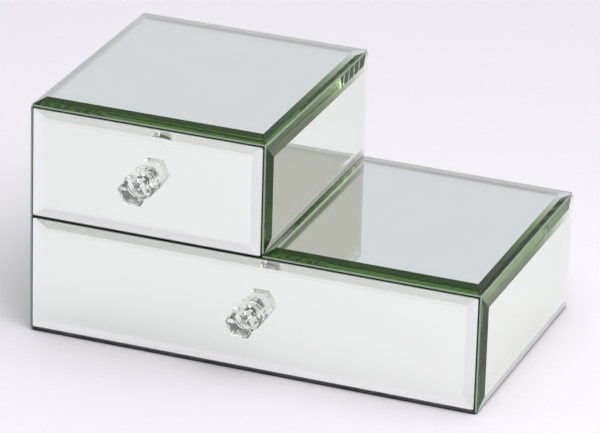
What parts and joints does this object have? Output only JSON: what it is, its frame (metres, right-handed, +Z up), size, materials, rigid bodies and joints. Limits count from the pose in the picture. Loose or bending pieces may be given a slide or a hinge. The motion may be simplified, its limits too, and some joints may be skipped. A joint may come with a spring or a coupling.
{
  "type": "trinket box",
  "caption": "Stepped two-drawer trinket box faced with bevelled mirror glass, with clear hexagonal knobs.",
  "frame": {"origin": "middle of the lower box's flat underside, where the felt meets the table", "axes": "+X to the right along the width seen from the drawer fronts, +Y to the back, +Z up"},
  "size_m": [0.255, 0.1666, 0.131],
  "materials": {
    "mirror_glass": "silvered float glass with wide polished bevels and ground edges",
    "clear_acrylic": "clear moulded acrylic, polished",
    "black_board": "thin fibreboard, painted matt black",
    "black_felt": "short-pile black felt",
    "zinc_steel": "bright zinc-plated steel"
  },
  "bodies": {
    "carcass": {"base_board": "black_board", "base_felt": "black_felt", "divider_board": "black_board", "lower_back_board": "black_board", "lower_back_mirror": "mirror_glass", "lower_left_board": "black_board", "lower_left_mirror": "mirror_glass", "lower_right_board": "black_board", "lower_right_mirror": "mirror_glass", "shelf_mirror": "mirror_glass", "top_board": "black_board", "top_mirror": "mirror_glass", "upper_back_board": "black_board", "upper_back_mirror": "mirror_glass", "upper_left_board": "black_board", "upper_left_mirror": "mirror_glass", "upper_right_board": "black_board", "upper_right_mirror": "mirror_glass"},
    "lower_drawer": {"lower_drawer_back_wall": "black_board", "lower_drawer_bottom": "black_board", "lower_drawer_front_board": "black_board", "lower_drawer_knob": "clear_acrylic", "lower_drawer_knob_screw": "zinc_steel", "lower_drawer_knob_washer": "zinc_steel", "lower_drawer_left_wall": "black_board", "lower_drawer_lining": "black_felt", "lower_drawer_mirror": "mirror_glass", "lower_drawer_right_wall": "black_board"},
    "upper_drawer": {"upper_drawer_back_wall": "black_board", "upper_drawer_bottom": "black_board", "upper_drawer_front_board": "black_board", "upper_drawer_knob": "clear_acrylic", "upper_drawer_knob_screw": "zinc_steel", "upper_drawer_knob_washer": "zinc_steel", "upper_drawer_left_wall": "black_board", "upper_drawer_lining": "black_felt", "upper_drawer_mirror": "mirror_glass", "upper_drawer_right_wall": "black_board"}
  },
  "joints": [
    {"name": "lower_drawer_slide", "type": "slide", "parent": "carcass", "child": "lower_drawer", "axis": [0, -1, 0], "range_m": [0, 0.11]},
    {"name": "upper_drawer_slide", "type": "slide", "parent": "carcass", "child": "upper_drawer", "axis": [0, -1, 0], "range_m": [0, 0.11]}
  ]
}
